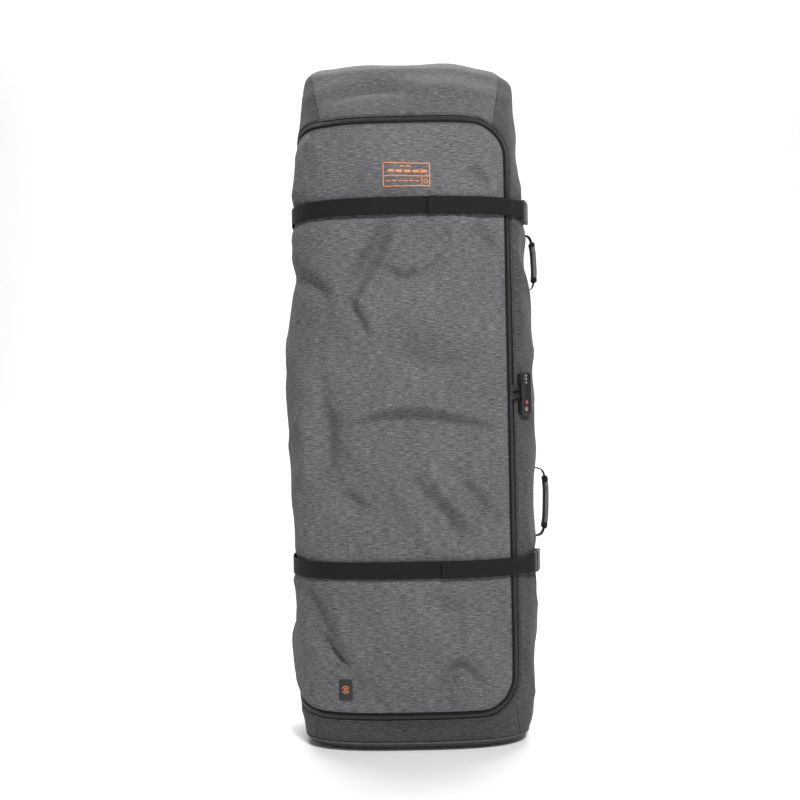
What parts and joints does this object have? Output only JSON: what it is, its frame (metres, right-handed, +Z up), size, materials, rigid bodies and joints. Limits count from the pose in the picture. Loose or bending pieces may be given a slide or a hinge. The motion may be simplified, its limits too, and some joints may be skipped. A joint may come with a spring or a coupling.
{
  "type": "snowboard bag",
  "caption": "Tall wheeled fabric bag for a board, with a zipped front lid, compression straps with side-release buckles, a combination lock and carry handles.",
  "frame": {"origin": "centre of the flat base, on the floor the bag stands on", "axes": "+Z up along the bag, -Y out of the zipped front, +X towards the side with the carry handles"},
  "size_m": [0.5655, 0.3496, 1.4789],
  "materials": {
    "heather_fabric": "matte",
    "webbing": "matte",
    "zip_tape": "matte",
    "black_plastic": "satin",
    "tyre": "matte",
    "steel": "satin",
    "brass": "satin",
    "piping": "satin",
    "badge_rubber": "satin"
  },
  "bodies": {
    "shell": {"right_side_panel": "heather_fabric", "left_side_panel": "heather_fabric", "top_end_panel": "heather_fabric", "bottom_end_panel": "heather_fabric", "back_panel": "heather_fabric", "base_tray": "black_plastic", "base_piping": "piping", "back_stiffener": "black_plastic", "zip_tape_body": "zip_tape", "upper_buckle_anchor": "webbing", "lower_buckle_anchor": "webbing", "upper_buckle_socket": "black_plastic", "lower_buckle_socket": "black_plastic", "lock_housing": "black_plastic", "upper_handle_patch_top": "webbing", "upper_handle_patch_bottom": "webbing", "lower_handle_patch_top": "webbing", "lower_handle_patch_bottom": "webbing", "end_handle_patch_left": "webbing", "end_handle_patch_right": "webbing", "left_skid_rail": "black_plastic", "right_skid_rail": "black_plastic", "left_wheel_housing": "black_plastic", "right_wheel_housing": "black_plastic", "left_wheel_axle": "steel", "right_wheel_axle": "steel"},
    "lid": {"lid_panel": "heather_fabric", "zip_tape_lid": "zip_tape", "badge": "badge_rubber"},
    "upper_strap": {"upper_strap_web": "webbing", "upper_strap_tail": "webbing", "upper_buckle_plug": "black_plastic"},
    "lower_strap": {"lower_strap_web": "webbing", "lower_strap_tail": "webbing", "lower_buckle_plug": "black_plastic"},
    "upper_slider": {"upper_zip_slider": "steel"},
    "lower_slider": {"lower_zip_slider": "steel"},
    "upper_puller": {"upper_zip_puller": "black_plastic"},
    "lower_puller": {"lower_zip_puller": "black_plastic"},
    "lock_dial_1": {"lock_dial_1": "steel"},
    "lock_dial_2": {"lock_dial_2": "steel"},
    "lock_dial_3": {"lock_dial_3": "steel"},
    "lock_button": {"lock_button": "black_plastic"},
    "lock_key": {"lock_key_cylinder": "brass"},
    "upper_handle": {"upper_handle_web_top": "webbing", "upper_handle_grip": "heather_fabric", "upper_handle_web_bottom": "webbing"},
    "lower_handle": {"lower_handle_web_top": "webbing", "lower_handle_grip": "heather_fabric", "lower_handle_web_bottom": "webbing"},
    "end_handle": {"end_handle_strap": "webbing"},
    "left_wheel": {"left_wheel_hub": "black_plastic", "left_wheel_tyre": "tyre"},
    "right_wheel": {"right_wheel_hub": "black_plastic", "right_wheel_tyre": "tyre"}
  },
  "joints": [
    {"name": "lid_hinge", "type": "hinge", "parent": "shell", "child": "lid", "pos_m": [-0.2455, 0.06, 0.73], "axis": [0, 0, -1], "range_deg": [0, 120]},
    {"name": "upper_strap_peel", "type": "hinge", "parent": "lid", "child": "upper_strap", "pos_m": [-0.2479, 0.042, 1.12], "axis": [0, 0, -1], "range_deg": [0, 45]},
    {"name": "lower_strap_peel", "type": "hinge", "parent": "lid", "child": "lower_strap", "pos_m": [-0.2506, 0.042, 0.384], "axis": [0, 0, -1], "range_deg": [0, 45]},
    {"name": "upper_slider_run", "type": "slide", "parent": "shell", "child": "upper_slider", "axis": [0, 0, 1], "range_m": [0, 0.33]},
    {"name": "lower_slider_run", "type": "slide", "parent": "shell", "child": "lower_slider", "axis": [0, 0, 1], "range_m": [-0.3, 0]},
    {"name": "upper_puller_swing", "type": "hinge", "parent": "upper_slider", "child": "upper_puller", "pos_m": [0.205, -0.13, 0.749], "axis": [0.4614, -0.8872, 0], "range_deg": [0, 90]},
    {"name": "lower_puller_swing", "type": "hinge", "parent": "lower_slider", "child": "lower_puller", "pos_m": [0.205, -0.13, 0.733], "axis": [0.4572, -0.8894, 0], "range_deg": [-90, 0]},
    {"name": "lock_dial_1_turn", "type": "hinge", "parent": "shell", "child": "lock_dial_1", "pos_m": [0.23368, -0.12211, 0.76], "axis": [0, 0, 1], "continuous": true},
    {"name": "lock_dial_2_turn", "type": "hinge", "parent": "shell", "child": "lock_dial_2", "pos_m": [0.23368, -0.12211, 0.767], "axis": [0, 0, 1], "continuous": true},
    {"name": "lock_dial_3_turn", "type": "hinge", "parent": "shell", "child": "lock_dial_3", "pos_m": [0.23368, -0.12211, 0.774], "axis": [0, 0, 1], "continuous": true},
    {"name": "lock_button_press", "type": "slide", "parent": "shell", "child": "lock_button", "axis": [-0.6308, 0.7759, 0], "range_m": [0, 0.0025], "stiffness_N_per_m": 300},
    {"name": "lock_key_turn", "type": "hinge", "parent": "shell", "child": "lock_key", "pos_m": [0.228, -0.11513, 0.706], "axis": [0.6308, -0.7759, 0], "range_deg": [0, 90]},
    {"name": "upper_handle_swing", "type": "hinge", "parent": "shell", "child": "upper_handle", "pos_m": [0.258, 0.02, 1.024], "axis": [-0.0389, 0, 0.9992], "range_deg": [-45, 45]},
    {"name": "lower_handle_swing", "type": "hinge", "parent": "shell", "child": "lower_handle", "pos_m": [0.26426, 0.02, 0.5], "axis": [0.0305, 0, 0.9995], "range_deg": [-45, 45]},
    {"name": "end_handle_swing", "type": "hinge", "parent": "shell", "child": "end_handle", "pos_m": [0, 0.078, 1.461], "axis": [1, 0, 0], "range_deg": [-40, 40]},
    {"name": "left_wheel_roll", "type": "hinge", "parent": "shell", "child": "left_wheel", "pos_m": [-0.196, 0.128, 0.04], "axis": [1, 0, 0], "continuous": true},
    {"name": "right_wheel_roll", "type": "hinge", "parent": "shell", "child": "right_wheel", "pos_m": [0.196, 0.128, 0.04], "axis": [1, 0, 0], "continuous": true}
  ]
}
